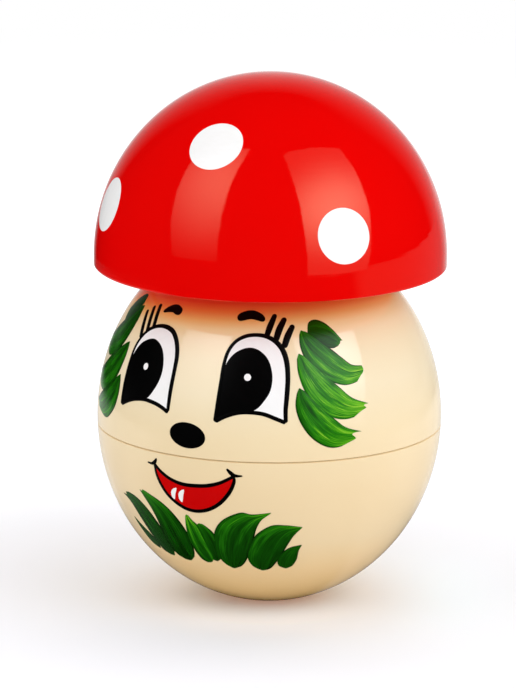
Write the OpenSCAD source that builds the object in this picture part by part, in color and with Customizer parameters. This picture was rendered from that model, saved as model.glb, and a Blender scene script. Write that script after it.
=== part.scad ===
// Mushroom roly-poly: a turned wooden toy that rocks and always stands up again.
// An egg-shaped body in two glued halves holds an iron weight with tone rods,
// a clapper hangs from the crown, and a hollow red cap sits on a post above it.
// Millimetres, +Z up, the origin is the middle of the small flat that it stands on,
// and the painted face looks along -Y.

/* [Body] */
// Diameter of the egg-shaped body at its widest
body_d = 78.4; // [74:0.2:84]
// Height of the whole egg, before its two ends are turned flat
body_h = 86.2; // [82:0.2:92]
// Wall of both body halves
body_wall = 4.5; // [4:0.1:6]
// Flat sanded under the body, where the lathe's stub was cut off
foot_d = 8; // [4:0.5:14]
// How far the seam between the two halves lies below the widest place
seam_drop = 1.7; // [-3:0.1:5]
// Bevel on both edges of the seam
seam_bevel = 0.2; // [0.1:0.05:0.5]
// Height of the lower half's spigot
spigot_h = 6; // [4:0.5:9]
// Wall of that spigot
spigot_wall = 2.2; // [1.6:0.1:2.6]
// Wood left under the weight, at the middle
floor_t = 8.5; // [7.5:0.5:11]
// Wood left at the crown, at the middle
crown_t = 7.5; // [6:0.5:10]
// Flat turned on the crown for the cap's post
crown_flat_d = 22; // [18:0.5:28]

/* [Cap] */
// Diameter of the cap at its rim
cap_d = 80; // [76:0.5:88]
// Height of the dome above its straight skirt
dome_h = 41.3; // [36:0.1:46]
// Height of the straight skirt at the rim
skirt_h = 2.4; // [1:0.1:4]
// How far the body's crown reaches up into the cap
crown_cover = 6.6; // [5.6:0.1:9]
// Bevel on the rim's outer edge
rim_bevel = 0.4; // [0.2:0.1:1]
// Wall of the cap
cap_wall = 4; // [3.5:0.1:6]
// Wood left at the top of the cap
cap_top_t = 10; // [9:0.5:14]
// Thickness of the disc that closes the cap from below
underside_t = 3; // [2:0.5:4]
// How far that disc lies inside the rim
underside_recess = 1; // [0.5:0.1:2]
// Width of the ledge that the disc is glued against
ledge_w = 1.5; // [1:0.1:2]

/* [Cap post] */
// Diameter of the post between body and cap
post_d = 16; // [14:0.5:18]
// Diameter of the tenons at both its ends
tenon_d = 10; // [9:0.5:12]
// Depth of the upper tenon's socket in the cap
cap_socket_h = 5.5; // [4:0.5:7]

/* [Weight] */
// Height of the cast weight
weight_h = 16.5; // [14:0.5:19]
// Air between the weight and the wall round it
weight_gap = 0.4; // [0.3:0.1:1]
// Diameter of the pocket for the screw's head
pocket_d = 12; // [10:0.5:16]
// Depth of that pocket
pocket_h = 6; // [5:0.5:9]
// Diameter of the screw that holds the weight
screw_d = 4; // [3:0.5:5]
// Length of the screw in the wood
screw_grip = 6; // [4:0.5:6.5]
// Diameter of the screw's head
screw_head_d = 8; // [7:0.5:9]
// Height of the screw's head
screw_head_h = 2.8; // [2:0.1:3.5]

/* [Chime] */
// Diameter of the tone rods
rod_d = 2.5; // [2:0.1:3]
// Distance from the weight's upper edge to the rods that stand on it
rod_edge = 10.3; // [7:0.1:11]
// Depth that each rod is pressed into the weight
rod_seat = 8; // [6:0.5:12]
// Air between the longest rod and the shell over it
rod_air = 10; // [6:0.5:12]
// Length that each rod is shorter than the next
rod_step = 3.5; // [1:0.5:4]

/* [Clapper] */
// Diameter of the wire of staple, link and stem
wire_d = 1.6; // [1.2:0.1:1.8]
// Spread of the staple's legs, middle to middle
staple_w = 6.4; // [6:0.2:7]
// Drop of the staple's crossbar below the crown
staple_drop = 7.5; // [7:0.1:9]
// Depth that the staple's legs are driven into the post
staple_seat = 6; // [5:0.5:8]
// Width of the link, middle to middle of the wire
link_w = 6; // [5.6:0.2:7]
// Air in the link, between the staple's crossbar and the stem's eye
link_slack = 0.8; // [0.6:0.1:1.6]
// Diameter of the stem's eye, to the middle of the wire
eye_d = 6; // [5.6:0.2:7]
// Where the bead hangs, as a share of the room from the weight up to the stem's eye
bead_share = 0.5; // [0.4:0.05:0.6]
// Diameter of the brass bead
bead_d = 14; // [12:0.5:15]
// Diameter of the two collars that hold the bead
collar_d = 4; // [3.5:0.1:5]
// Height of those collars
collar_h = 2; // [1.5:0.1:3]
// Play between wires that hang in each other
hang_play = 0.2; // [0.15:0.05:0.3]

/* [Hidden] */
$fn = 96;

// Glue line in every tenon, spigot and rebate
glue_gap = 0.1;
// Radial room round what is pressed or driven in
press_gap = 0.02;
// Air above the spigot and over the upper tenon
end_relief = 0.3;
// Overrun of every cut
over = 1;
// Width and depth of the screwdriver slot
slot_w = 1;
slot_h = 1.2;
// Room for the screw's shank in the weight
screw_clearance = 0.2;
// Length of the screw's point
screw_point_h = 2;
// Bevel at the free end of a tone rod, as a share of its radius
rod_bevel_share = 0.6;
// Radius of the bends in the staple and the link, to the middle of the wire
bend_r = wire_d;

body_r = body_d / 2;
body_half_h = body_h / 2;
// Height of the body's widest place: the foot's flat cuts the egg at the floor
body_mid_z = body_half_h * sqrt(1 - pow(foot_d / body_d, 2));

// Radius of the egg at a height, where both its half-axes are shortened by an inset
function egg_r(z, inset = 0) =
    (body_r - inset) * sqrt(max(0, 1 - pow((z - body_mid_z) / (body_half_h - inset), 2)));

// Height of the upper half of that egg at a radius
function egg_z(r, inset = 0) =
    body_mid_z + (body_half_h - inset) * sqrt(max(0, 1 - pow(r / (body_r - inset), 2)));

crown_z = egg_z(crown_flat_d / 2);
ceiling_z = crown_z - crown_t;
seam_z = body_mid_z - seam_drop;
seam_r = egg_r(seam_z);
spigot_bore_r = egg_r(seam_z, body_wall);
spigot_r = spigot_bore_r + spigot_wall;

cap_r = cap_d / 2;
rim_z = crown_z - crown_cover;
dome_z = rim_z + skirt_h;
cap_top_z = dome_z + dome_h;
cap_ceiling_z = cap_top_z - cap_top_t;
underside_z = rim_z + underside_recess;
ledge_z = underside_z + underside_t;
cap_bore_r = cap_r - cap_wall;
rebate_r = cap_bore_r + ledge_w;

weight_top_z = floor_t + weight_h;
pocket_z = weight_top_z - pocket_h;
pilot_r = screw_d / 2 + press_gap;
rod_base_z = weight_top_z - rod_seat;
rod_count = 4;
rod_circle_r = egg_r(weight_top_z, body_wall + weight_gap) - rod_edge;
rod_long_z = egg_z(rod_circle_r + rod_d / 2, body_wall) - rod_air;

crossbar_z = ceiling_z - staple_drop;
hang_step = wire_d + hang_play;
link_h = 2 * hang_step + wire_d + link_slack;
link_top_z = crossbar_z + hang_step;
link_bar_z = link_top_z - link_h;
eye_z = link_bar_z + hang_step - eye_d / 2;
stem_top_z = eye_z - eye_d / 2;
bead_z = weight_top_z + bead_share * (stem_top_z - weight_top_z);
stem_end_z = bead_z - bead_d / 2 - collar_h;

body_cream = [0.93, 0.82, 0.62];
cap_red = [0.86, 0.02, 0.02];
bare_birch = [0.85, 0.70, 0.50];
grey_iron = [0.30, 0.30, 0.31];
bright_steel = [0.75, 0.76, 0.78];
yellow_brass = [0.80, 0.62, 0.28];

// Flat half-section of the egg, right of its axis
module egg_section(inset = 0) {
    intersection() {
        translate([0, body_mid_z])
            scale([1, (body_half_h - inset) / (body_r - inset)])
                circle(r = body_r - inset);
        translate([0, -over])
            square([body_d, body_h + 2 * over]);
    }
}

// Flat band right of the axis, from one height to another
module band(low_z, high_z, reach = body_d) {
    translate([0, low_z])
        square([reach, high_z - low_z]);
}

// Small corner cut at the body's outer edge of the seam, above it or below it
module seam_cut(side) {
    translate([seam_r, seam_z])
        polygon([[-seam_bevel, 0], [over, 0], [over, side * seam_bevel], [0, side * seam_bevel]]);
}

// Straight wire along Z
module wire(length) {
    cylinder(d = wire_d, h = length);
}

// Quarter bend of wire in the XZ plane, from +X round to +Z
module wire_bend() {
    rotate([90, 0, 0])
        rotate_extrude(angle = 90)
            translate([bend_r, 0])
                circle(d = wire_d);
}

// Bent wire: one bar along X at height zero, with a leg that rises from each of its ends
module wire_hoop(width, leg_h) {
    bar = width - 2 * bend_r;
    translate([-bar / 2, 0, 0])
        rotate([0, 90, 0])
            wire(bar);
    for (side = [0, 1])
        mirror([side, 0, 0]) {
            translate([bar / 2, 0, bend_r])
                mirror([0, 0, 1])
                    wire_bend();
            translate([width / 2, 0, bend_r])
                wire(leg_h - bend_r);
        }
}

module lower_shell() {
    color(body_cream)
        rotate_extrude()
            difference() {
                union() {
                    intersection() {
                        egg_section();
                        band(0, seam_z);
                    }
                    translate([spigot_bore_r, seam_z - spigot_wall])
                        square([spigot_wall, spigot_wall + spigot_h]);
                }
                intersection() {
                    egg_section(body_wall);
                    band(floor_t, seam_z);
                }
                band(floor_t - screw_grip - end_relief, floor_t + over, pilot_r);
                seam_cut(-1);
            }
}

module upper_shell() {
    color(body_cream)
        rotate_extrude()
            difference() {
                intersection() {
                    egg_section();
                    band(seam_z, crown_z);
                }
                intersection() {
                    egg_section(body_wall);
                    band(seam_z - over, ceiling_z);
                }
                band(seam_z - over, seam_z + spigot_h + end_relief, spigot_r + glue_gap);
                band(ceiling_z - over, crown_z + over, tenon_d / 2 + glue_gap);
                seam_cut(1);
            }
}

// Flat half-section of a dome that stands on its skirt
module dome_section(radius, height, low_z) {
    band(low_z, dome_z, radius);
    intersection() {
        translate([0, dome_z])
            scale([1, height / radius])
                circle(r = radius);
        translate([0, dome_z])
            square([cap_d, dome_h + over]);
    }
}

module cap_dome() {
    color(cap_red)
        rotate_extrude()
            difference() {
                dome_section(cap_r, dome_h, rim_z);
                intersection() {
                    dome_section(cap_bore_r, dome_h - cap_wall, rim_z - over);
                    band(rim_z - over, cap_ceiling_z);
                }
                band(rim_z - over, ledge_z, rebate_r);
                band(cap_ceiling_z - over, cap_ceiling_z + cap_socket_h, tenon_d / 2 + glue_gap);
                translate([cap_r, rim_z])
                    polygon([[-rim_bevel, 0], [-rim_bevel, -over], [over, -over], [over, rim_bevel],
                             [0, rim_bevel]]);
            }
}

module cap_underside() {
    color(cap_red)
        rotate_extrude()
            difference() {
                band(underside_z, ledge_z, rebate_r - glue_gap);
                egg_section(-glue_gap);
            }
}

module cap_post() {
    color(bare_birch)
        difference() {
            rotate_extrude() {
                band(ceiling_z, cap_ceiling_z + cap_socket_h - end_relief, tenon_d / 2);
                band(crown_z, cap_ceiling_z, post_d / 2);
            }
            for (side = [-1, 1])
                translate([side * staple_w / 2, 0, ceiling_z - over])
                    cylinder(d = wire_d + 2 * press_gap, h = staple_seat + over);
        }
}

module weight() {
    color(grey_iron)
        difference() {
            rotate_extrude()
                difference() {
                    intersection() {
                        egg_section(body_wall + weight_gap);
                        band(floor_t, weight_top_z);
                    }
                    band(floor_t - over, pocket_z + over, screw_d / 2 + screw_clearance);
                    band(pocket_z, weight_top_z + over, pocket_d / 2);
                }
            for (index = [0 : rod_count - 1])
                rod_place(index)
                    cylinder(d = rod_d + 2 * press_gap, h = rod_seat + over);
        }
}

module weight_screw() {
    shank_h = pocket_z - floor_t + screw_grip - screw_point_h;
    color(bright_steel)
        difference() {
            translate([0, 0, pocket_z]) {
                cylinder(d = screw_head_d, h = screw_head_h);
                translate([0, 0, -shank_h])
                    cylinder(d = screw_d, h = shank_h);
                translate([0, 0, -shank_h - screw_point_h])
                    cylinder(d1 = 0, d2 = screw_d, h = screw_point_h);
            }
            translate([-screw_head_d / 2 - over, -slot_w / 2, pocket_z + screw_head_h - slot_h])
                cube([screw_head_d + 2 * over, slot_w, slot_h + over]);
        }
}

// Puts its children where a tone rod starts: the rods stand on the X and Y axes
module rod_place(index) {
    rotate([0, 0, 360 / rod_count * index])
        translate([rod_circle_r, 0, rod_base_z])
            children();
}

// One tone rod: each is a step longer than the one before, with a bevelled free end
module tone_rod(index) {
    length = rod_long_z - rod_base_z - (rod_count - 1 - index) * rod_step;
    end_h = rod_bevel_share * rod_d / 2;
    color(bright_steel)
        rod_place(index) {
            cylinder(d = rod_d, h = length - end_h);
            translate([0, 0, length - end_h])
                cylinder(d1 = rod_d, d2 = rod_d - 2 * end_h, h = end_h);
        }
}

module hanger_staple() {
    color(bright_steel)
        translate([0, 0, crossbar_z])
            wire_hoop(staple_w, staple_drop + staple_seat);
}

module hanger_link() {
    color(bright_steel)
        rotate([0, 0, 90]) {
            translate([0, 0, link_bar_z])
                wire_hoop(link_w, link_h / 2);
            translate([0, 0, link_top_z])
                mirror([0, 0, 1])
                    wire_hoop(link_w, link_h / 2);
        }
}

module clapper_stem() {
    color(bright_steel) {
        translate([0, 0, eye_z])
            rotate([90, 0, 0])
                rotate_extrude()
                    translate([eye_d / 2, 0])
                        circle(d = wire_d);
        translate([0, 0, stem_end_z])
            wire(stem_top_z - stem_end_z);
    }
}

module clapper_bead() {
    color(yellow_brass)
        translate([0, 0, bead_z])
            difference() {
                sphere(d = bead_d);
                cylinder(d = wire_d + 2 * press_gap, h = bead_d + over, center = true);
            }
}

// Two brass collars pressed on the stem, one over and one under the bead
module bead_collars() {
    // The bead's bore cuts its poles off, so the collars sit on the two rings that are left
    bead_half_h = sqrt(pow(bead_d / 2, 2) - pow(wire_d / 2 + press_gap, 2));
    color(yellow_brass)
        for (side = [0, 1])
            translate([0, 0, bead_z])
                mirror([0, 0, side])
                    translate([0, 0, bead_half_h])
                        difference() {
                            cylinder(d = collar_d, h = collar_h);
                            translate([0, 0, -over])
                                cylinder(d = wire_d + 2 * press_gap, h = collar_h + 2 * over);
                        }
}

cap_dome();
cap_underside();
cap_post();
upper_shell();
lower_shell();
weight();
weight_screw();
tone_rod(0);  // tone_rod_1
tone_rod(1);  // tone_rod_2
tone_rod(2);  // tone_rod_3
tone_rod(3);  // tone_rod_4
hanger_staple();
hanger_link();
clapper_stem();
clapper_bead();
bead_collars();
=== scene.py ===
import math

import bpy
import numpy as np
from mathutils import Matrix, Vector


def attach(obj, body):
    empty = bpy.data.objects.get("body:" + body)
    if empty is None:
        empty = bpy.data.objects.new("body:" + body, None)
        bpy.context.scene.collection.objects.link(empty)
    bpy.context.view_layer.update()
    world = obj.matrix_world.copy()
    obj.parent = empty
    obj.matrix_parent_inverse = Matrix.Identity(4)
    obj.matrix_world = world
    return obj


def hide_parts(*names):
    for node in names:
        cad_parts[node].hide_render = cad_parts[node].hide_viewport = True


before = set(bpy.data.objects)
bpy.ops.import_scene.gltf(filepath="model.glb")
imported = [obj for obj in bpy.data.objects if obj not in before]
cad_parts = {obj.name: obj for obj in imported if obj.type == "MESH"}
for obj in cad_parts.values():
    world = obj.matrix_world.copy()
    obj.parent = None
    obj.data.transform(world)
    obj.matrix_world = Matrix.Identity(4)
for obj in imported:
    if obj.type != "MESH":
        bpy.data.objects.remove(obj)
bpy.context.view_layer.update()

# Sizes of the turned toy, in millimetres, as its solids have them
MM = 0.001
EGG_R, EGG_H = 39.2, 43.1
FOOT_R, CROWN_R = 4.0, 11.0
EGG_MID = EGG_H * math.sqrt(1 - (FOOT_R / EGG_R) ** 2)
CROWN_Z = EGG_MID + EGG_H * math.sqrt(1 - (CROWN_R / EGG_R) ** 2)
SEAM_Z = EGG_MID - 1.7
SEAM_BEVEL, SEAM_DEEP = 0.2, 0.4
WALL = 4.5
FLOOR_T, CROWN_T = 8.5, 7.5
SPIGOT_H, SPIGOT_WALL = 6.0, 2.2
TENON_R = 5.1
PILOT_R, PILOT_H = 2.02, 6.3
CAP_R, DOME_H, SKIRT_H = 40.0, 41.3, 2.4
RIM_Z = CROWN_Z - 6.6
DOME_Z = RIM_Z + SKIRT_H
CAP_TOP_Z = DOME_Z + DOME_H
CAP_WALL, CAP_TOP_T = 4.0, 10.0
RIM_ROUND = 0.4
LEDGE_Z, REBATE_R = RIM_Z + 4.0, 37.5
SOCKET_H = 5.5
GLUE_GAP, END_RELIEF = 0.1, 0.3
TURNS = 256          # columns round a turned piece
SINK = 0.06          # how deep the underside of a paint layer lies in the lacquer
SHARP = 35           # degrees from which an edge stays sharp
EDGE_STEP, SKIRT_STEP, SOCKET_FLAT = 1.0, 0.5, 4.0     # first steps along flats of the sections


# The camera, at the photograph's place

VIEW_AZ, VIEW_EL, VIEW_ROLL = 27.0, 13.3, 0.4
VIEW_DISTANCE = 1.2
SENSOR, IMAGE_H = 36.0, 688
CLIP = (0.01, 20.0)
PIXELS_PER_MM = 4.40
AIM_Z = 60.0                   # height on the toy's axis that the lens is set by
AXIS_SHIFT = (11.8, 4.4)       # pixels that this lies right of and above the picture's middle


def heading(azimuth, elevation):
    """Unit direction from the toy: azimuth counts from -Y towards +X, elevation from the floor up."""
    a, e = math.radians(azimuth), math.radians(elevation)
    return np.array([math.cos(e) * math.sin(a), -math.cos(e) * math.cos(a), math.sin(e)])


def level_axes(azimuth, elevation):
    """Right and up of someone who stands at that heading and looks at the toy."""
    a = math.radians(azimuth)
    right = np.array([math.cos(a), math.sin(a), 0.0])
    return right, np.cross(heading(azimuth, elevation), right)


def make_camera():
    """Long lens set by a place on the toy's axis, rolled as the photograph leans."""
    back = heading(VIEW_AZ, VIEW_EL)
    right, up = level_axes(VIEW_AZ, VIEW_EL)
    roll = math.radians(VIEW_ROLL)
    right, up = (math.cos(roll) * right + math.sin(roll) * up,
                 math.cos(roll) * up - math.sin(roll) * right)
    aim = np.array([0, 0, AIM_Z]) - (AXIS_SHIFT[0] * right + AXIS_SHIFT[1] * up) / PIXELS_PER_MM
    data = bpy.data.cameras.new("camera")
    data.sensor_width = SENSOR
    data.lens = PIXELS_PER_MM * VIEW_DISTANCE / MM / IMAGE_H * SENSOR
    data.clip_start, data.clip_end = CLIP
    camera = bpy.data.objects.new("camera", data)
    place = Matrix([[right[i], up[i], back[i], 0] for i in range(3)] + [[0, 0, 0, 1]])
    place.translation = Vector(aim * MM + VIEW_DISTANCE * back)
    camera.matrix_world = place
    bpy.context.scene.collection.objects.link(camera)
    bpy.context.scene.camera = camera


make_camera()


# Curves and places on the toy

def through(row, count, parts=2, closed=False, ease=False):
    """Smooth curve through a row of points with so many parts each: on each span a cubic whose slope at
    a point is half the step from the one before to the one after. With ease, samples crowd at the ends."""
    p = np.reshape(row, (-1, parts)).astype(float)
    if closed:
        p = np.concatenate([p[-1:], p, p[:2]])
        x = np.arange(count) / count
    else:
        p = np.concatenate([2 * p[:1] - p[1:2], p, 2 * p[-1:] - p[-2:-1]])
        x = np.linspace(0, 1, count)
        x = 0.5 - 0.5 * np.cos(math.pi * x) if ease else x
    x = x * (len(p) - 3)
    i = np.minimum(x.astype(int), len(p) - 4)
    u = (x - i)[:, None]
    a, b, c, d = p[i], p[i + 1], p[i + 2], p[i + 3]
    out = b + 0.5 * u * (c - a + u * (2 * a - 5 * b + 4 * c - d + u * (3 * (b - c) + d - a)))
    return out[:, 0] if parts == 1 else out


def egg_radius(z, inset=0.0):
    """Radius of the egg at a height, with both half-axes shortened by the inset."""
    return (EGG_R - inset) * np.sqrt(np.clip(1 - ((z - EGG_MID) / (EGG_H - inset)) ** 2, 0, None))


EGG = (np.array([EGG_R, EGG_R, EGG_H]), np.array([0, 0, EGG_MID]))
DOME = (np.array([CAP_R, CAP_R, DOME_H]), np.array([0, 0, DOME_Z]))


def on_surface(points, form, lift=0.0):
    """Points pulled straight towards the form's middle until they lie on its ellipsoid, then raised
    along the ellipsoid's normal by the lift."""
    axes, middle = form
    q = points - middle
    q = q / np.linalg.norm(q / axes, axis=-1, keepdims=True)
    n = q / axes ** 2
    n = n / np.linalg.norm(n, axis=-1, keepdims=True)
    return q + middle + np.asarray(lift)[..., None] * n, n


def face_place(chart):
    """Places on the egg from chart points: the first number runs round the egg from the middle of
    the face, as millimetres at the widest place, and the second is the height."""
    chart = np.asarray(chart, float)
    turn, z = chart[..., 0] / EGG_R, chart[..., 1]
    r = egg_radius(z)
    return np.stack([r * np.sin(turn), -r * np.cos(turn), z], -1)


def ellipse(middle, half, tilt=0.0, count=72):
    """Outline of an ellipse in the chart, turned by the tilt."""
    a = np.arange(count) * 2 * math.pi / count
    c, s = math.cos(math.radians(tilt)), math.sin(math.radians(tilt))
    x, y = half[0] * np.cos(a), half[1] * np.sin(a)
    return np.array(middle) + np.stack([c * x - s * y, s * x + c * y], 1)


# Meshes from whole arrays

def mesh_object(name, verts, faces, uvs=None, tones=None):
    """Object from points in millimetres and rows of four corners, with a row's last two corners alike
    where it is a triangle. uvs and tones belong to the points."""
    mesh = bpy.data.meshes.new(name)
    triangle = faces[:, 2] == faces[:, 3]
    quads, tris = faces[~triangle], faces[triangle][:, :3]
    mesh.from_pydata((verts * MM).tolist(), [], quads.tolist() + tris.tolist(), shade_flat=False)
    if uvs is not None:
        corners = np.concatenate([quads.ravel(), tris.ravel()])
        layer = mesh.uv_layers.new(name="UVMap")
        layer.data.foreach_set("uv", uvs[corners].astype(np.float32).ravel())
    if tones is not None:
        mark = mesh.attributes.new("tone", "FLOAT", "POINT")
        mark.data.foreach_set("value", tones.astype(np.float32))
    mesh.validate()
    mesh.set_sharp_from_angle(angle=math.radians(SHARP))
    piece = bpy.data.objects.new(name, mesh)
    bpy.context.scene.collection.objects.link(piece)
    return piece


def grid_faces(rows, cols, wrap=False):
    """Corners of the faces of a grid of points, row after row; wrap joins the last column to the first."""
    i, j = np.meshgrid(np.arange(rows - 1), np.arange(cols if wrap else cols - 1), indexing="ij")
    k = (j + 1) % cols
    corners = [i * cols + j, i * cols + k, (i + 1) * cols + k, (i + 1) * cols + j]
    return np.stack(corners, -1).reshape(-1, 4)


def capped(rings, tips, flip):
    """Points and faces of rings of points, row after row, and a fan from each end to its own tip."""
    rows, cols = rings.shape[:2]
    faces = [grid_faces(rows, cols, wrap=True)[:, ::-1 if flip else 1]]
    first = np.arange(cols)
    for tip, ring, turn in ((0, first, not flip), (1, first + (rows - 1) * cols, flip)):
        a, b = (np.roll(ring, -1), ring) if turn else (ring, np.roll(ring, -1))
        faces.append(np.stack([np.full(cols, rows * cols + tip), a, b, b], -1))
    return np.concatenate([rings.reshape(-1, 3), tips]), np.concatenate(faces)


def turned(name, outside, inside, closed=False):
    """Turned piece: the half-section, radius and height from point to point with the wood on its left,
    goes once round the axis. An open one starts and ends on the axis, where a single point closes it.
    The inside takes the second material."""
    profile = np.concatenate(outside + inside)
    outer_rows = sum(len(part) for part in outside)
    a = np.arange(TURNS) * 2 * math.pi / TURNS
    ring = profile if closed else profile[1:-1]
    grid = np.stack([ring[:, :1] * np.sin(a), -ring[:, :1] * np.cos(a),
                     np.repeat(ring[:, 1:], TURNS, 1)], -1)
    rows = len(ring)
    inner = np.repeat(np.arange(rows if closed else rows - 1), TURNS) >= outer_rows
    if closed:
        verts, faces = grid.reshape(-1, 3), grid_faces(rows + 1, TURNS, wrap=True) % (rows * TURNS)
    else:
        verts, faces = capped(grid, [[0, 0, profile[0, 1]], [0, 0, profile[-1, 1]]], False)
        inner = np.concatenate([inner, np.arange(2 * TURNS) >= TURNS])
    quads = faces[:, 2] != faces[:, 3]
    piece = mesh_object(name, verts, faces)
    marks = np.concatenate([inner[quads], inner[~quads]]).astype(np.int32)
    piece.data.polygons.foreach_set("material_index", marks)
    return piece


def leaf_solid(top, bottom):
    """Points and faces of a thin closed sheet: a grid above, one below and a wall along the edges."""
    rows, cols = top.shape[:2]
    verts = np.concatenate([top.reshape(-1, 3), bottom.reshape(-1, 3)])
    upper = grid_faces(rows, cols)
    lower = upper[:, ::-1] + rows * cols
    i, j = np.arange(rows) * cols, np.arange(cols)
    edge = np.concatenate([j, i[1:] + cols - 1, (i[-1] + j)[::-1][1:], i[::-1][1:]])[:-1]
    nxt = np.roll(edge, -1)
    wall = np.stack([edge, edge + rows * cols, nxt + rows * cols, nxt], -1)
    return verts, np.concatenate([upper, lower, wall])


# How far each kind of paint stands above the lacquer, and how much higher the next leaf does
LIFT = dict(dot=0.05, white=0.03, pupil=0.06, light=0.09, line=0.1, nose=0.08, mouth=0.03, tooth=0.06,
            leaf=0.03, next_leaf=0.022)
# Dabs: spacing of the rings, the share at which the rim slopes, and the share of the lift it keeps
RING_POWER, RIM_SHARE, RIM_LIFT = 0.8, 0.985, 0.4
# Lines: columns across, share of the lift that the edges lose, least rounding and half-width of an end
LINE_COLS, LINE_CROWN, END_ROUND, END_HALF = 7, 0.5, 0.05, 0.015


def layer(flat, form, lift):
    """Grid of places pulled onto the form twice: raised by the lift, and sunk into the lacquer."""
    return [on_surface(flat, form, h + np.zeros(flat.shape[:2]))[0] for h in (lift, -SINK)]


def dab_solid(loop, middle, form, lift, place=face_place, rings=14):
    """Points and faces of a dab of paint: the outline shrinks towards its middle in rings, the inner
    rings lie on the form at the lift, the outermost slopes down, and the same rings close it below."""
    middle = np.asarray(middle, float)
    share = np.linspace(1, 0, rings + 1)[:-1] ** RING_POWER
    share = np.concatenate([[1.0, RIM_SHARE], share[1:]])
    flat = middle + share[:, None, None] * (loop - middle)
    above, below = layer(place(flat), form, np.where(share < 1, lift, RIM_LIFT * lift)[:, None])
    tips = np.stack([on_surface(place(middle), form, h)[0] for h in (lift, -SINK)])
    return capped(np.concatenate([above[::-1], below]), tips, True)


def stroke_solid(path, widths, count=64):
    """Points and faces of a brush line: a smooth path on the egg, its width set off to both sides
    square to the path and to the surface, both ends rounded, the middle slightly fuller."""
    spine = face_place(through(path, count, ease=True))
    _, n = on_surface(spine, EGG)
    side = np.cross(n, np.gradient(spine, axis=0))
    side = side / np.linalg.norm(side, axis=1, keepdims=True)
    step = np.linalg.norm(np.diff(spine, axis=0), axis=1)
    run = np.concatenate([[0], np.cumsum(step)])
    half = 0.5 * through(widths, count, parts=1, ease=True)
    to_end = np.minimum(run, run[-1] - run)
    inside = np.clip(1 - to_end / np.maximum(half, END_ROUND), 0, 1)
    half = np.maximum(half * np.sqrt(1 - inside ** 2), END_HALF)
    v = np.linspace(-1, 1, LINE_COLS)
    flat = spine[:, None] + (half[:, None] * v)[..., None] * side[:, None]
    above, below = layer(flat, EGG, LIFT["line"] * (1 - LINE_CROWN * v ** 4))
    return leaf_solid(above[:, ::-1], below[:, ::-1])


def joined(name, solids, uvs=None, tones=None):
    """One piece from several closed solids."""
    start = np.cumsum([0] + [len(v) for v, _ in solids])
    verts = np.concatenate([v for v, _ in solids])
    faces = np.concatenate([f + s for (_, f), s in zip(solids, start)])
    return mesh_object(name, verts, faces, uvs, tones)


# The turned pieces

def arc(form, z_from, z_to, count, inset=0.0):
    """Half-section along an ellipsoid, evenly spaced in its own angle."""
    (rx, _, rz), (_, _, mid) = form
    a = np.linspace(math.asin(max(-1, (z_from - mid) / (rz - inset))),
                    math.asin(min(1, (z_to - mid) / (rz - inset))), count)
    return np.stack([(rx - inset) * np.cos(a), mid + (rz - inset) * np.sin(a)], 1)


def straight(*stops):
    """Half-section straight from stop to stop. A stop is a radius, a height and the number of evenly
    spaced points from it to the next; the last stop's is one if it is kept itself."""
    legs = [np.linspace(a[:2], b[:2], a[2], endpoint=False) for a, b in zip(stops, stops[1:])]
    return np.concatenate(legs + [np.array([stops[-1][:2]])[:stops[-1][2]]])


def body_halves():
    """Both halves of the egg. A section runs up the outside, in over the end and down the bore."""
    ceiling = CROWN_Z - CROWN_T
    bore = egg_radius(SEAM_Z, WALL)
    spigot = bore + SPIGOT_WALL
    spigot_z = SEAM_Z + SPIGOT_H
    recess, recess_z = spigot + GLUE_GAP, spigot_z + END_RELIEF
    pilot_z = FLOOR_T - PILOT_H
    groove = [[egg_radius(SEAM_Z) - SEAM_DEEP, SEAM_Z]]
    upper_out = [
        groove,
        arc(EGG, SEAM_Z + SEAM_BEVEL, CROWN_Z, count=96),
        straight((CROWN_R - EDGE_STEP, CROWN_Z, 3), (TENON_R, CROWN_Z, 0))]
    upper_in = [
        straight((TENON_R, CROWN_Z, 3), (TENON_R, ceiling, 4), (egg_radius(ceiling, WALL), ceiling, 0)),
        arc(EGG, ceiling, recess_z, count=32, inset=WALL),
        straight((recess, recess_z, 3), (recess, SEAM_Z, 1))]
    lower_out = [
        straight((0, 0, 4), (FOOT_R, 0, 0)),
        arc(EGG, 0, SEAM_Z - SEAM_BEVEL, count=80),
        groove]
    lower_in = [
        straight((spigot, SEAM_Z, 3), (spigot, spigot_z, 2), (bore, spigot_z, 3), (bore, SEAM_Z, 0)),
        arc(EGG, SEAM_Z, FLOOR_T, count=32, inset=WALL),
        straight((egg_radius(FLOOR_T, WALL) - EDGE_STEP, FLOOR_T, 4), (PILOT_R, FLOOR_T, 3),
                 (PILOT_R, pilot_z, 2), (0, pilot_z, 1))]
    upper = turned("body_upper_half", upper_out, upper_in, closed=True)
    return upper, turned("body_lower_half", lower_out, lower_in)


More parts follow.
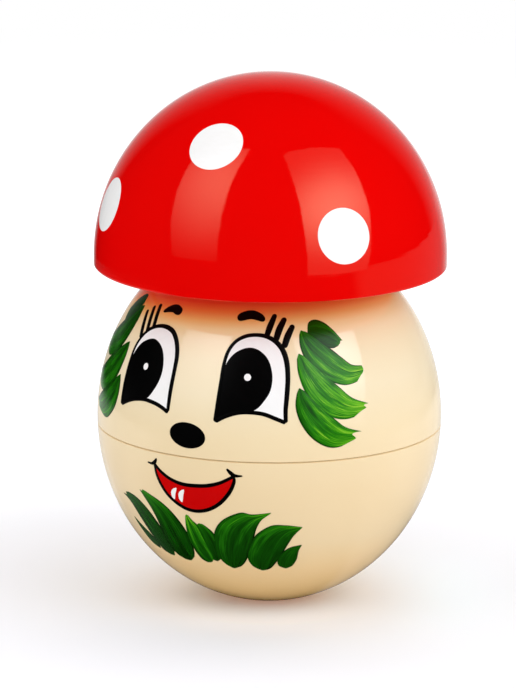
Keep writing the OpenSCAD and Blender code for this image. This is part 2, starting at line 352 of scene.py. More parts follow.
def cap_dome():
    """The hollow cap: from the top of the dome down the outside and the skirt, round the rim's edge,
    in to the rebate for the disc below, up the bore and in to the post's socket."""
    bore = CAP_R - CAP_WALL
    ceiling = CAP_TOP_Z - CAP_TOP_T
    socket_z = ceiling + SOCKET_H
    a = np.linspace(0, math.pi / 2, 7)
    corner = np.stack([CAP_R - RIM_ROUND + RIM_ROUND * np.cos(a),
                       RIM_Z + RIM_ROUND - RIM_ROUND * np.sin(a)], 1)
    outside = [
        arc(DOME, CAP_TOP_Z, DOME_Z, count=110),
        straight((CAP_R, DOME_Z - SKIRT_STEP, 5), (CAP_R, RIM_Z + RIM_ROUND, 0)),
        corner,
        straight((CAP_R - EDGE_STEP, RIM_Z, 3), (REBATE_R, RIM_Z, 3), (REBATE_R, LEDGE_Z, 0))]
    inside = [
        straight((REBATE_R, LEDGE_Z, 2), (bore, LEDGE_Z, 1)),
        arc(DOME, LEDGE_Z, ceiling, count=40, inset=CAP_WALL),
        straight((TENON_R + SOCKET_FLAT, ceiling, 3), (TENON_R, ceiling, 3), (TENON_R, socket_z, 3),
                 (0, socket_z, 1))]
    return turned("cap_shell", outside, inside)


upper_half, lower_half = body_halves()
cap = cap_dome()
for piece, node, finish in ((upper_half, "upper_shell", "cream_lacquer"),
                            (lower_half, "lower_shell", "cream_lacquer"),
                            (cap, "cap_dome", "red_lacquer")):
    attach(piece, "toy")
    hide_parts(node)


# The white dots of the cap

DOT_D, DOT_STEPS = 12.6, 96
# Azimuth from the middle of the face, and height of the dot's middle
DOTS = ((0.6, 109.8), (51.9, 91.7), (-47.3, 93.4), (182.0, 109.6), (135.0, 92.0), (-132.0, 93.0))


def cap_dots():
    """Round dots: a circle in the plane that touches the dome at the dot's middle, pulled onto it."""
    solids = []
    loop = ellipse((0, 0), (DOT_D / 2, DOT_D / 2), count=DOT_STEPS)
    for azimuth, z in DOTS:
        r = CAP_R * math.sqrt(1 - ((z - DOME_Z) / DOME_H) ** 2)
        t = math.radians(azimuth)
        middle = np.array([r * math.sin(t), -r * math.cos(t), z])
        _, n = on_surface(middle, DOME)
        right = np.array([math.cos(t), math.sin(t), 0.0])
        up = np.cross(n, right)

        def place(flat):
            flat = np.asarray(flat, float)
            return middle + flat[..., :1] * right + flat[..., 1:] * up
        solids.append(dab_solid(loop, (0, 0), DOME, LIFT["dot"], place, rings=8))
    return solids


# The painted face: paths and outlines are rows of x, y, x, y in chart millimetres

# Each eye: its arch from the left corner over the top to the right one, with the widths of the black line
# there, its lower lid, the pupil's outline and the small light in the pupil
LEFT_EYE = dict(
    arch=(-21.7, 49.7, -22, 54, -22.2, 58.5, -22.2, 62, -21.4, 64.4, -19.7, 66.3, -17.4, 67.4, -14.8,
          67.9, -12, 67.8, -9.6, 67, -7.6, 65.2, -6.4, 62.7, -6.1, 59.5, -6.1, 55.5, -6.1, 50.8),
    widths=(1, 0.9, 0.8, 0.8, 0.8, 0.9, 0.9, 1, 1.1, 1.1, 1.1, 1.1, 1, 1, 0.8),
    lid=(-21.7, 49.8, -19.4, 50.9, -16.8, 51.8, -13.5, 52.3, -10, 52, -7.8, 51.4, -6, 50.6),
    pupil=(-22, 56, -22, 60, -20.6, 63, -18.4, 64.5, -15.6, 65.1, -12.8, 64.3, -10.8, 62.6, -9.7, 60,
           -9.8, 57.4, -11, 54.8, -12.9, 52.6, -16, 51.8, -19, 51, -21.7, 50.2, -21.9, 53),
    light=(-15.4, 59.2), light_r=(0.8, 0.75))
RIGHT_EYE = dict(
    arch=(6.1, 49.9, 6.4, 54, 6.7, 58.5, 6.9, 62, 7.6, 64.9, 9.2, 66.9, 11.5, 68, 14.2, 68.4, 17.2, 68.2,
          19.7, 67.3, 21.6, 65.7, 22.6, 63.3, 22.8, 60, 22.5, 56.5, 22.1, 53, 22.1, 50.2),
    widths=(1, 0.9, 0.8, 0.8, 0.8, 0.8, 0.9, 0.9, 1, 1.1, 1.2, 1.2, 1.1, 1.1, 1, 0.9),
    lid=(6.1, 50, 8.5, 51.3, 11.3, 52.2, 14, 52.4, 17, 52.1, 19.6, 51.2, 22.1, 50.2),
    pupil=(6.5, 56, 6.8, 60.5, 8.2, 63.5, 10.4, 65.2, 13.3, 65.9, 16.1, 65.2, 18.2, 63.3, 19.1, 60.3,
           18.7, 57.3, 17.3, 55, 15.3, 53, 12.6, 52.3, 9.3, 51.6, 6.4, 50.4, 6.3, 53),
    light=(13.1, 59.8), light_r=(0.85, 0.75))
EYES = (LEFT_EYE, RIGHT_EYE)
LID_WIDTHS, EYE_STEPS = (0.9, 0.9), 120

# Lines of black paint: a path and its widths
UPPER_LIP = ((-9.5, 38.3, -7.6, 36.7, -5, 35.4, -1.8, 34.7, 1.8, 34.8, 4.6, 35.2, 7.4, 36.1, 10.5, 37.8),
             (0.7, 0.8, 0.8, 0.9, 0.9, 0.9, 0.8, 0.7))
LOWER_LIP = ((-9.5, 38.2, -9.1, 36, -8.2, 33.9, -6.6, 31.6, -4.2, 29.8, -1.5, 28.7, 1.5, 28.6, 4.5, 29.5,
              7.2, 31.3, 9.4, 33.9, 10.5, 36.3, 10.6, 37.7),
             (0.6, 0.7, 0.8, 0.8, 0.9, 0.9, 0.9, 0.9, 0.9, 0.9, 0.8, 0.6))
FACE_LINES = (
    # Lashes of the right eye, then of the left
    ((17.5, 68.2, 18.5, 70.2, 20, 72.5), (1.2, 1.4, 1)),
    ((19.9, 67.2, 21.1, 69.6, 22.9, 71.8), (1.3, 1.5, 1.1)),
    ((22.1, 65.9, 23.3, 68.2, 25.1, 70.4), (1.3, 1.5, 1.1)),
    ((-21.5, 64.4, -23.3, 67.3, -25.1, 69.9), (1.1, 1.1, 0.9)),
    ((-19.9, 65.9, -21.3, 68.5, -22.9, 71.1), (1.1, 1.1, 0.9)),
    ((-18, 67, -19.3, 69.6, -20.5, 71.8), (1.1, 1.1, 1)),
    # Brows
    ((8.9, 71.2, 10.3, 71.9, 12.8, 72.3, 15.2, 71.9, 16.8, 71.2), (1.6, 2.1, 2.2, 1.9, 1.1)),
    ((-17.4, 70.6, -15.6, 71.3, -13.5, 71.7, -11.7, 71.4, -10.4, 70.9), (0.7, 1.6, 2.1, 2.1, 1.6)),
    UPPER_LIP, LOWER_LIP,
    # Corners of the smile
    ((-11.6, 38.4, -10.4, 38.3, -9.5, 38.7, -8.8, 39.7), (0.3, 0.6, 0.9, 0.4)),
    ((8.9, 39.5, 9.8, 38.6, 10.8, 38, 12.5, 38), (0.4, 0.9, 0.8, 0.3)),
)
NOSE = dict(middle=(-0.6, 46.2), half=(4.5, 2.85), tilt=-5.0)
TEETH = ((-3.8, 33.5, -4.3, 32, -4.7, 30.7, -5.4, 31.3, -5.4, 32.4, -4.8, 33.2),
         (-1.8, 33.4, -2.2, 31.8, -2.7, 30.3, -3.4, 31, -3.4, 32.2, -2.8, 33))


def face_dab(kind, loop, middle=None, rings=14):
    """Dab of paint on the egg at the lift of its kind, round the outline's mean if no middle is given."""
    return dab_solid(loop, loop.mean(0) if middle is None else middle, EGG, LIFT[kind], rings=rings)


def eye_outline(eye):
    """Outline of the area inside the arch and the lower lid."""
    lid, arch = through(eye["lid"], count=60), through(eye["arch"], count=160)
    return np.concatenate([lid[:-1], arch[::-1][:-1]])


def tooth(row):
    """Small white area in the mouth."""
    middle = np.reshape(row, (-1, 2)).mean(0)
    return face_dab("tooth", through(row, count=48, closed=True), middle, rings=5)


def mouth_red():
    """Area between the two lips: each point of the upper lip is joined straight to one of the lower."""
    upper, lower = (through(path, count=70) for path, _ in (UPPER_LIP, LOWER_LIP))
    v = np.linspace(0.01, 0.99, 20)[None, :, None]
    flat = face_place(upper[1:-1, None] * (1 - v) + lower[1:-1, None] * v)
    above, below = layer(flat, EGG, LIFT["mouth"])
    return leaf_solid(above[:, ::-1], below[:, ::-1])


# The painted leaves

# Each leaf: both edges, from where the brush was set down to where it was lifted; how light the paint is
# at first, how much lighter along the first edge, at the tip and in bands along the stroke; and how far
# the tip reaches, from the first edge across to the second
RIGHT_LEAVES = (
    ((28.9, 69.1, 29.7, 70.7, 31.8, 71.2, 34.4, 70.5, 36.6, 68.9, 38.6, 66.6),
     (28.9, 68.6, 29.9, 67.2, 32.3, 66, 35, 65.3, 36.4, 65.5, 37.2, 65.8),
     (0.12, 0.05, 0.24, 0.05), (1, 0.97, 0.99, 0.96)),
    ((27.7, 69.3, 30.6, 67.9, 34.6, 65.3, 37.2, 63.3, 39.6, 61.6, 42.7, 61.1),
     (26.6, 69.2, 26.4, 66, 28.2, 62.3, 32, 59.2, 37, 57.5, 42.4, 58.4),
     (0.26, 0.02, 0.25, 0.24), (0.98, 1, 0.99, 0.95, 0.92)),
    ((26.5, 64.7, 29.5, 62.3, 32.3, 59.8, 35, 57.5, 38.3, 54.7, 42.5, 53),
     (25.3, 64.6, 25.4, 60.5, 27.4, 55.5, 31, 51.8, 36, 50.2, 42, 51.3),
     (0.37, 0.06, 0.2, 0.24), (1, 0.95, 0.98, 0.93, 0.88)),
    ((25.9, 57.6, 28.1, 55.4, 30.9, 52.8, 33.6, 50.4, 36.2, 48.4, 40.1, 47.1),
     (25, 57.5, 24.4, 53.5, 25.8, 49.4, 28.8, 45.9, 33, 44.1, 38.8, 45.2),
     (0.25, 0.06, 0.24, 0.32), (1, 0.91, 0.95, 0.97, 0.87)),
)
LEFT_LEAVES = (
    ((-29.9, 71, -29.8, 69, -32.4, 66.6, -36, 65),
     (-30.6, 72.2, -33.2, 72.1, -36.4, 70.4, -38.6, 67.8),
     (0.1, 0.05, 0.12, 0.05), (0.96, 1, 0.97)),
    ((-28, 70.2, -27.2, 66.8, -28.4, 62.4, -31.6, 59.3, -36, 57.8, -40.5, 58.4),
     (-28.7, 70.5, -31.8, 68.9, -35.6, 66.4, -38.6, 64.2, -41.5, 62.4, -43.4, 61.4),
     (0.15, 0.05, 0.16, 0.12), (0.95, 1, 0.96, 0.98)),
    ((-25.4, 62.7, -25, 59.5, -26.4, 55, -29.8, 51.8, -34.2, 50.2, -39, 50.8),
     (-26, 63, -29.2, 61.2, -33.2, 58.8, -36.6, 56.4, -39.6, 54.6, -41.8, 53.6),
     (0.18, 0.05, 0.16, 0.15), (0.95, 1, 0.95, 0.98)),
    ((-24.5, 55.6, -23.8, 52.2, -24.6, 48.8, -26.6, 46.4, -29.6, 44.9, -34.6, 45.6),
     (-25, 55.9, -28, 53.6, -31, 52, -33.6, 50.4, -36.4, 48.6, -38.6, 47.4),
     (0.19, 0.05, 0.14, 0.16), (0.95, 1, 0.95, 0.98)),
)
LOWER_LEAVES = (
    ((-17.2, 15.8, -17, 17.6, -18.4, 19.6, -20.8, 21.3, -23.1, 22.9),
     (-18.4, 15.9, -20.4, 16.8, -21.6, 18.4, -22.6, 20.6, -23.3, 22.7),
     (0.14, 0, 0.06, 0.02), (1, 0.98)),
    ((-11.4, 15.2, -10.8, 19.4, -12.2, 23, -14.6, 26.4, -18, 28.7, -22, 29.4),
     (-13.2, 14.6, -16.4, 15.9, -17.8, 19.4, -19.4, 23.4, -21.4, 26.7, -24.2, 28.4),
     (0.11, 0.02, 0.08, 0.05), (0.96, 0.99, 0.95, 1)),
    ((-4.4, 15.2, -3, 18, -3.2, 22.2, -5.4, 26.2, -9, 29.2, -14.8, 31.4),
     (-7.2, 14.2, -10.8, 15.9, -12, 19, -12, 23, -13.2, 27.2, -16.4, 31.7),
     (0.06, 0.08, 0.26, 0.15), (0.97, 0.98, 0.96, 0.97)),
    ((4.4, 15.8, 5.5, 18, 5.5, 20.8, 4.4, 23.3, 2.6, 24.9, 1.4, 25.5),
     (2.6, 15.5, 1.6, 17, 1, 19.6, 0.6, 22.2, 0.3, 24.2, 0.3, 25.4),
     (0.1, 0.04, 0.18, 0.12), (0.95, 1, 0.95)),
    ((2.6, 15.7, 2.6, 18.2, 1.6, 21.4, 0.6, 24.6, -0.8, 26, -1.9, 27.3),
     (0.4, 14.7, -1.6, 15.7, -2.8, 18.2, -3.3, 21.6, -3, 24.8, -2.5, 27.2),
     (0.18, 0.08, 0.26, 0.32), (0.97, 1, 0.98)),
    ((7, 14, 4.6, 16.4, 4, 20, 4.8, 23.9, 7.3, 27, 11.6, 29.1, 14.6, 28.8, 19, 29.3),
     (9.4, 14.1, 11.4, 15.5, 13, 17.8, 14.2, 20.6, 14.9, 23.2, 15.6, 25.5, 16.8, 27.5, 18.9, 29.1),
     (0.1, 0.16, 0.24, 0.16), (1, 0.99)),
    ((15.8, 13.9, 13.7, 15.2, 12.7, 17.4, 13.5, 20.5, 15.4, 23.7, 19, 26, 22.6, 26.1, 26.7, 25.5),
     (17.8, 13.8, 19.4, 14.6, 20.9, 16.4, 22.2, 18.6, 23.4, 20.9, 24.4, 22.8, 25.3, 24, 26.6, 25.3),
     (0.1, 0.2, 0.18, 0.08), (1, 0.99)),
    ((23.2, 14.4, 21.4, 15.3, 21, 17.2, 22.4, 19.1, 24.4, 20.3, 27.1, 20.8),
     (24.4, 14.5, 25.6, 15.2, 26.4, 16.8, 26.5, 18.2, 26.6, 19.4, 27.1, 20.6),
     (0.16, 0.04, 0.08, 0), (1, 0.99)),
)

# Ridges along a leaf: height, waves across, shift from leaf to leaf. Bands: place across, turn of their
# sway from leaf to leaf and at first, spread, level
LEAF_RIDGES = ((0.006, 55, 1), (0.004, 97, 2))
LEAF_BANDS = ((0.24, 1.3, 0.0, 0.10, 1.0), (0.68, 2.1, 1.0, 0.08, 1.0), (0.46, 0.0, 0.0, 0.10, -0.5))
BAND_SWAY, BAND_LEVEL, BAND_START = 0.05, 0.65, 0.3
# At its edges a leaf starts later, is thinner and is darker
EDGE_START, EDGE_THIN, EDGE_DARK = 0.05, 0.4, 0.3
UV_LENGTH, UV_SHIFT = 10, 3.7


def leaf(edge_a, edge_b, looks, tip, index, rows=60, cols=36, fine=400):
    """One brush stroke: straight across from edge to edge at each step of the way, lifted at its tip
    earlier in some places than in others, with fine ridges along it."""
    base, side_gain, tip_gain, band_gain = looks
    v = np.linspace(0, 1, cols)
    first, last = EDGE_START * (2 * v - 1) ** 2, through(tip, cols, parts=1)
    t = first + np.linspace(0, 1, rows)[:, None] * (last - first)
    at = t * (fine - 1)
    low = np.minimum(at.astype(int), fine - 2)
    part = (at - low)[..., None]
    edges = (through(edge, fine) for edge in (edge_a, edge_b))
    ea, eb = (e[low] * (1 - part) + e[low + 1] * part for e in edges)
    flat = face_place(ea + v[None, :, None] * (eb - ea))
    edge = np.abs(2 * v - 1)
    ridges = sum(h * np.sin(waves * v + shift * index) for h, waves, shift in LEAF_RIDGES)
    lifts = (LIFT["leaf"] + LIFT["next_leaf"] * index) * (1 - EDGE_THIN * edge ** 6)
    above, below = layer(flat, EGG, lifts + ridges * (1 - edge ** 6))
    length = np.linalg.norm(np.diff(flat[:, cols // 2], axis=0), axis=1).sum()
    uv = np.stack([t * length / UV_LENGTH + UV_SHIFT * index, v[None] + np.zeros((rows, 1))], -1)
    bands = sum(level * np.exp(-((v - place - BAND_SWAY * math.sin(turn * index + start)) / spread) ** 2)
                for place, turn, start, spread, level in LEAF_BANDS)
    tone = base + side_gain * (1 - v[None]) ** 4 + tip_gain * t ** 2 - EDGE_DARK * edge[None] ** 12
    tone = tone + BAND_LEVEL * band_gain * bands[None] * (BAND_START + (1 - BAND_START) * t)
    return above, below, uv.reshape(-1, 2), tone.ravel()


def leaves(name, table):
    """A group of leaves as one piece, each laid over the one before it."""
    solids, uvs, tones = [], [], []
    for index, row in enumerate(table):
        above, below, uv, tone = leaf(*row, index)
        solids.append(leaf_solid(above, below))
        uvs += [uv, uv]
        tones += [tone, tone]
    return joined(name, solids, np.concatenate(uvs), np.concatenate(tones))


eye_lines = [row for eye in EYES for row in ((eye["arch"], eye["widths"]), (eye["lid"], LID_WIDTHS))]
dabs = dict(
    cap_dots=cap_dots(),
    eye_whites=[face_dab("white", eye_outline(eye)) for eye in EYES],
    pupils=[face_dab("pupil", through(eye["pupil"], count=140, closed=True)[::-1]) for eye in EYES],
    pupil_lights=[face_dab("light", ellipse(eye["light"], eye["light_r"], count=40)[::-1], eye["light"],
                           rings=4) for eye in EYES],
    face_lines=([stroke_solid(*row) for row in FACE_LINES]
                + [stroke_solid(*row, EYE_STEPS) for row in eye_lines]),
    nose=[face_dab("nose", ellipse(**NOSE)[::-1], NOSE["middle"])],
    mouth_red=[mouth_red()],
    teeth=[tooth(row) for row in TEETH],
)
paint = {name: joined(name, solids) for name, solids in dabs.items()}
for name, table in (("leaves_right", RIGHT_LEAVES), ("leaves_left", LEFT_LEAVES),
                    ("leaves_below", LOWER_LEAVES)):
    paint[name] = leaves(name, table)
for piece in paint.values():
    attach(piece, "toy")


# Materials

def linear(r, g, b):
    """Colour written as it looks on a screen, from 0 to 255, turned into light by the sRGB curve."""
    c = np.array([r, g, b]) / 255
    c = np.where(c <= 0.04045, c / 12.92, ((c + 0.055) / 1.055) ** 2.4)
    return (*[float(x) for x in c], 1.0)


def add(tree, kind, inputs=None, **settings):
    """Outputs of a new shader node with these settings and inputs, each a value or another output."""
    node = tree.nodes.new(f"ShaderNode{kind}")
    for key, value in settings.items():
        setattr(node, key, value)
    for key, value in (inputs or {}).items():
        if isinstance(value, bpy.types.NodeSocket):
            tree.links.new(value, node.inputs[key])
        else:
            node.inputs[key].default_value = value
    return node.outputs


def ramp(tree, factor, stops):
    """Colour ramp with stops of place and colour."""
    colour_out = add(tree, "ValToRGB", {"Fac": factor})["Color"]
    elements = colour_out.node.color_ramp.elements
    while len(elements) < len(stops):
        elements.new(0.5)
    for element, (place, colour) in zip(elements, stops):
        element.position = place
        element.color = colour
    return colour_out


def math_node(tree, operation, a, b=0.0, c=0.0, clamp=False):
    """Result of a calculation with up to three numbers."""
    return add(tree, "Math", {0: a, 1: b, 2: c}, operation=operation, use_clamp=clamp)[0]


def scaled(tree, value, gain, start=0.0, clamp=False):
    """Value times a gain, plus a start."""
    return math_node(tree, "MULTIPLY_ADD", value, gain, start, clamp)


def vector_node(tree, operation, a, b=(0, 0, 0)):
    """Result of a calculation with vectors: a number for a length or a dot product, else a vector."""
    result = "Value" if operation in ("LENGTH", "DOT_PRODUCT") else "Vector"
    return add(tree, "VectorMath", {0: a, 1: b}, operation=operation)[result]


def mix_colour(tree, factor, a, b, blend="MIX"):
    """The first colour, mixed or multiplied with the second as far as the factor says."""
    return add(tree, "Mix", {0: factor, 6: a, 7: b}, data_type="RGBA", blend_type=blend)[2]


def map_range(tree, value, low, high, to_low=0.0, to_high=1.0):
    """Value eased from one level below low to another above high."""
    inputs = {"Value": value, "From Min": low, "From Max": high, "To Min": to_low, "To Max": to_high}
    return add(tree, "MapRange", inputs, interpolation_type="SMOOTHSTEP")["Result"]


def noise(tree, vector, scale, detail, **more):
    """Level of a noise texture on the vector."""
    inputs = {"Vector": vector, "Scale": scale, "Detail": detail, **more}
    return add(tree, "TexNoise", inputs)["Fac"]


def new_group(name, inputs, outputs):
    """Empty shader group with its sockets; inputs and outputs are pairs of name and kind."""
    group = bpy.data.node_groups.new(name, "ShaderNodeTree")
    for in_out, sockets in (("INPUT", inputs), ("OUTPUT", outputs)):
        for label, kind in sockets:
            group.interface.new_socket(name=label, in_out=in_out, socket_type=f"NodeSocket{kind}")
    return group, group.nodes.new("NodeGroupInput").outputs, group.nodes.new("NodeGroupOutput").inputs


def lacquer_skin_group():
    """Clear lacquer on turned work: slow colour drift, faint rings, and soft waves from drying."""
    group, given, out = new_group(
        "lacquer_skin",
        (("Vector", "Vector"), ("Colour", "Color"), ("Deeper", "Color")),
        (("Colour", "Color"), ("Roughness", "Float"), ("Height", "Float")))
    place = given["Vector"]
    drift = scaled(group, noise(group, place, scale=38.0, detail=3.0), gain=0.8, start=-0.12, clamp=True)
    specks = noise(group, place, scale=900.0, detail=2.0)
    grooves = {"Vector": place, "Scale": 260.0, "Distortion": 1.5, "Detail": 1.0, "Detail Scale": 0.6}
    rings = add(group, "TexWave", grooves, bands_direction="Z")["Fac"]
    fine = scaled(group, rings, gain=0.06, start=scaled(group, specks, gain=0.10))
    waves = noise(group, place, scale=150.0, detail=2.0, Roughness=0.4)
    group.links.new(mix_colour(group, drift, given["Colour"], given["Deeper"]), out["Colour"])
    group.links.new(scaled(group, specks, gain=0.04, start=0.04), out["Roughness"])
    group.links.new(math_node(group, "ADD", waves, fine), out["Height"])
    return group


def brush_marks_group():
    """Marks of a brush in paint: streaks that run along one direction of the vector."""
    group, given, out = new_group(
        "brush_marks",
        (("Vector", "Vector"), ("Along", "Float"), ("Across", "Float")),
        (("Streak", "Float"),))
    parts = add(group, "SeparateXYZ", {0: given["Vector"]})
    stretched = add(group, "CombineXYZ", {
        "X": scaled(group, parts["X"], given["Along"]),
        "Y": scaled(group, parts["Y"], given["Across"]),
        "Z": parts["Z"]})[0]
    broad = noise(group, stretched, scale=1.0, detail=2.0)
    fine = noise(group, stretched, scale=3.6, detail=3.0, Distortion=0.2)
    streak = scaled(group, fine, gain=0.6, start=scaled(group, broad, gain=0.4))
    group.links.new(streak, out["Streak"])
    return group


LACQUER_SKIN = lacquer_skin_group()
BRUSH_MARKS = brush_marks_group()


def brush_marks(tree, vector, along, across):
    """Level of the streaks that a brush leaves."""
    inputs = {"Vector": vector, "Along": along, "Across": across}
    return add(tree, "Group", inputs, node_tree=BRUSH_MARKS)["Streak"]


def new_material(name):
    """Material with a Principled shader; gives the tree, the shader and the object's coordinates."""
    material = bpy.data.materials.new(name)
    material.use_nodes = True
    tree = material.node_tree
    shader = tree.nodes["Principled BSDF"]
    coords = add(tree, "TexCoord")
    return material, tree, shader, coords


def dress(tree, shader, colour, roughness, height, relief):
    """Colour, roughness and a relief of the height, in metres, into the shader."""
    normal = add(tree, "Bump", {"Height": height, "Strength": 1.0, "Distance": relief})["Normal"]
    tree.links.new(colour, shader.inputs["Base Color"])
    tree.links.new(roughness, shader.inputs["Roughness"])
    tree.links.new(normal, shader.inputs["Normal"])


# Depth of each finish's relief, in metres
LACQUER_RELIEF, ENAMEL_RELIEF, LEAF_RELIEF, BIRCH_RELIEF = 3.2e-5, 4e-6, 1e-5, 3e-5
# What the cream is multiplied by, at heights in millimetres: painted shade, warmer and deeper towards the
# foot, and under the rim painted shade with a painted red reflection of the cap
CREAM_PAINTED_SHADE = ((6, (1.0, 0.83, 0.55)), (14, (0.98, 0.86, 0.66)), (22, (0.945, 0.9, 0.79)),
                (34, (0.935, 0.89, 0.775)), (46, (0.945, 0.93, 0.84)), (56, (0.955, 0.99, 0.98)),
                (63, (0.955, 0.985, 0.95)), (67, (0.98, 0.97, 0.88)), (69.3, (1.0, 0.92, 0.66)),
                (70.9, (1.0, 0.68, 0.30)), (72.6, (1.0, 0.32, 0.10)), (74.3, (0.97, 0.10, 0.045)),
                (76, (0.92, 0.04, 0.02)))
# The height that the painted shade draws back to, by which share, and where most, round from the camera's
# side, towards the brighter softbox
SHADE_MID, DRAW_BACK, DRAW_AZ = 40.0, 0.07, 75.0
LEAF_GREENS = ((0.0, linear(6, 34, 2)), (0.2, linear(12, 72, 3)), (0.42, linear(36, 124, 8)),
               (0.68, linear(92, 172, 22)), (1.0, linear(170, 210, 64)))
BIRCH_TONES = ((0.2, linear(196, 158, 110)), (0.55, linear(219, 184, 138)), (0.9, linear(232, 202, 160)))


def painted_shade_by_height(tree, place, colour, painted_shades):
    """Colour multiplied by the painted shade for its height. The painted shade draws back from both ends a
    little on the side that is turned to the brighter softbox, where more light falls."""
    top, middle = painted_shades[-1][0] * MM, SHADE_MID * MM
    lit = DRAW_BACK * heading(VIEW_AZ + DRAW_AZ, 0) / (EGG_R * MM)
    z = add(tree, "SeparateXYZ", {0: place})["Z"]
    gain = math_node(tree, "SUBTRACT", 1.0, vector_node(tree, "DOT_PRODUCT", place, tuple(lit)))
    height = scaled(tree, math_node(tree, "SUBTRACT", z, middle), gain, middle)
    stops = [(level * MM / top, (*shade, 1.0)) for level, shade in painted_shades]
    return mix_colour(tree, 1.0, colour, ramp(tree, scaled(tree, height, 1 / top), stops), "MULTIPLY")


def lacquer(name, colour, deeper, gloss, glow, painted_shades=None):
    """Clear glossy lacquer over a colour that drifts between two tones, multiplied by painted shade by
    height where that is given.
    """
    material, tree, shader, coords = new_material(name)
    shader.inputs["Specular IOR Level"].default_value = gloss
    shader.inputs["Specular Tint"].default_value = glow
    inputs = {"Vector": coords["Object"], "Colour": colour, "Deeper": deeper}
    skin = add(tree, "Group", inputs, node_tree=LACQUER_SKIN)
    shade = painted_shade_by_height(tree, coords["Object"], skin["Colour"], painted_shades) if painted_shades else skin["Colour"]
    dress(tree, shader, shade, skin["Roughness"], skin["Height"], LACQUER_RELIEF)
    return material


def enamel(name, light, dark, roughness, specular):
    """Brushed enamel: two tones of one colour in streaks, on the object's coordinates."""
    material, tree, shader, coords = new_material(name)
    shader.inputs["Specular IOR Level"].default_value = specular
    streak = brush_marks(tree, coords["Object"], along=150.0, across=700.0)
    rough = scaled(tree, streak, gain=0.1, start=roughness)
    dress(tree, shader, mix_colour(tree, streak, dark, light), rough, streak, ENAMEL_RELIEF)
    return material


def leaf_paint():
    """Green from nearly black to yellow: each stroke's tone, streaks along it, and thin light hairs
    where the tone is light."""
    material, tree, shader, coords = new_material("leaf_paint")
    shader.inputs["Specular IOR Level"].default_value = 0.2
    tone = add(tree, "Attribute", attribute_name="tone")["Fac"]
    streak = brush_marks(tree, coords["UV"], along=0.7, across=6.5)
    streak_gain = map_range(tree, tone, low=0.1, high=0.5, to_low=0.6, to_high=1.5)
    level = scaled(tree, math_node(tree, "SUBTRACT", streak, 0.5), streak_gain, tone)
    hairs = brush_marks(tree, coords["UV"], along=0.6, across=14.0)
    hair_gain = map_range(tree, tone, low=0.12, high=0.5, to_low=0.04, to_high=0.4)
    hairs = scaled(tree, map_range(tree, hairs, low=0.53, high=0.66), hair_gain)
    colour = ramp(tree, math_node(tree, "ADD", level, hairs), LEAF_GREENS)
    dress(tree, shader, colour, scaled(tree, streak, gain=0.12, start=0.1), streak, LEAF_RELIEF)
    return material


def bare_birch():
    """Pale turned wood: growth rings cut by the lathe, fine pores along Z."""
    material, tree, shader, coords = new_material("bare_birch")
    place = coords["Object"]
    growth = {"Vector": place, "Scale": 55.0, "Distortion": 3.0, "Detail": 3.0, "Detail Scale": 1.2}
    rings = add(tree, "TexWave", growth, bands_direction="X")["Fac"]
    along = add(tree, "Mapping", {"Vector": place, "Scale": (1.0, 1.0, 0.06)})[0]
    pores = noise(tree, along, scale=2600.0, detail=2.0)
    figure = scaled(tree, pores, gain=0.5, start=scaled(tree, rings, gain=0.5))
    rough = scaled(tree, pores, gain=0.2, start=0.5)
    dress(tree, shader, ramp(tree, figure, BIRCH_TONES), rough, figure, BIRCH_RELIEF)
    return material


def metal(name, light, dark, scale, roughness, relief):
    """Metal with a grain: stretched noise for drawn wire and turned brass, even noise for a casting."""
    material, tree, shader, coords = new_material(name)
    shader.inputs["Metallic"].default_value = 1.0
    along = add(tree, "Mapping", {"Vector": coords["Object"], "Scale": scale})[0]
    grain = noise(tree, along, scale=900.0, detail=4.0)
    rough = scaled(tree, grain, gain=0.18, start=roughness)
    dress(tree, shader, mix_colour(tree, grain, dark, light), rough, grain, relief)
    return material


red = lacquer("red_lacquer", linear(228, 1, 1), linear(222, 1, 0), gloss=0.65, glow=(1, 0.9, 0.54, 1))
# The cream lacquer carries painted shade towards the foot and a painted red reflection of the cap under
# the rim
cream = lacquer("cream_lacquer", linear(250, 230, 195), linear(247, 225, 187), gloss=0.9,
                glow=(1, 1, 1, 1), painted_shades=CREAM_PAINTED_SHADE)
birch = bare_birch()
white_enamel = enamel("white_enamel", linear(248, 247, 244), linear(240, 238, 233), roughness=0.12,
                      specular=0.4)
black_enamel = enamel("black_enamel", linear(5, 4, 4), linear(1, 1, 1), roughness=0.3, specular=0.1)
mouth_enamel = enamel("mouth_enamel", linear(200, 1, 1), linear(190, 1, 1), roughness=0.16, specular=0.05)
greens = leaf_paint()
iron = metal("cast_iron", linear(98, 96, 95), linear(62, 61, 60), scale=(1, 1, 1), roughness=0.5,
             relief=6e-5)
steel = metal("drawn_steel", linear(205, 206, 208), linear(166, 168, 172), scale=(4, 4, 0.1),
              roughness=0.22, relief=5e-6)
brass = metal("turned_brass", linear(214, 178, 104), linear(182, 140, 66), scale=(0.15, 0.15, 6),
              roughness=0.2, relief=5e-6)

for piece, outer in ((upper_half, cream), (lower_half, cream), (cap, red)):
    piece.data.materials.append(outer)
    piece.data.materials.append(birch)
for names, material in (("cap_dots eye_whites pupil_lights teeth", white_enamel),
                        ("pupils face_lines nose", black_enamel), ("mouth_red", mouth_enamel),
                        ("leaves_right leaves_left leaves_below", greens),
                        ("cap_underside", red), ("cap_post", birch), ("weight", iron),
                        ("weight_screw tone_rod_1 tone_rod_2 tone_rod_3 tone_rod_4", steel),
                        ("hanger_staple hanger_link clapper_stem", steel),
                        ("clapper_bead bead_collars", brass)):
    for name in names.split():
        mesh = (paint[name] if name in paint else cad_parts[name]).data
        mesh.materials.clear()
        mesh.materials.append(material)


# The studio: pale floor, two softboxes, and a dark hood that only reflections meet

STUDIO_R, FLOOR_INNER = 3.0, (0.0005, 0.05)    # the floor's radius, and its two innermost rings
FLOOR_COLOUR, CLOTH_BACK = (0.89, 0.9, 0.915, 1), (0.02, 0.02, 0.02, 1)
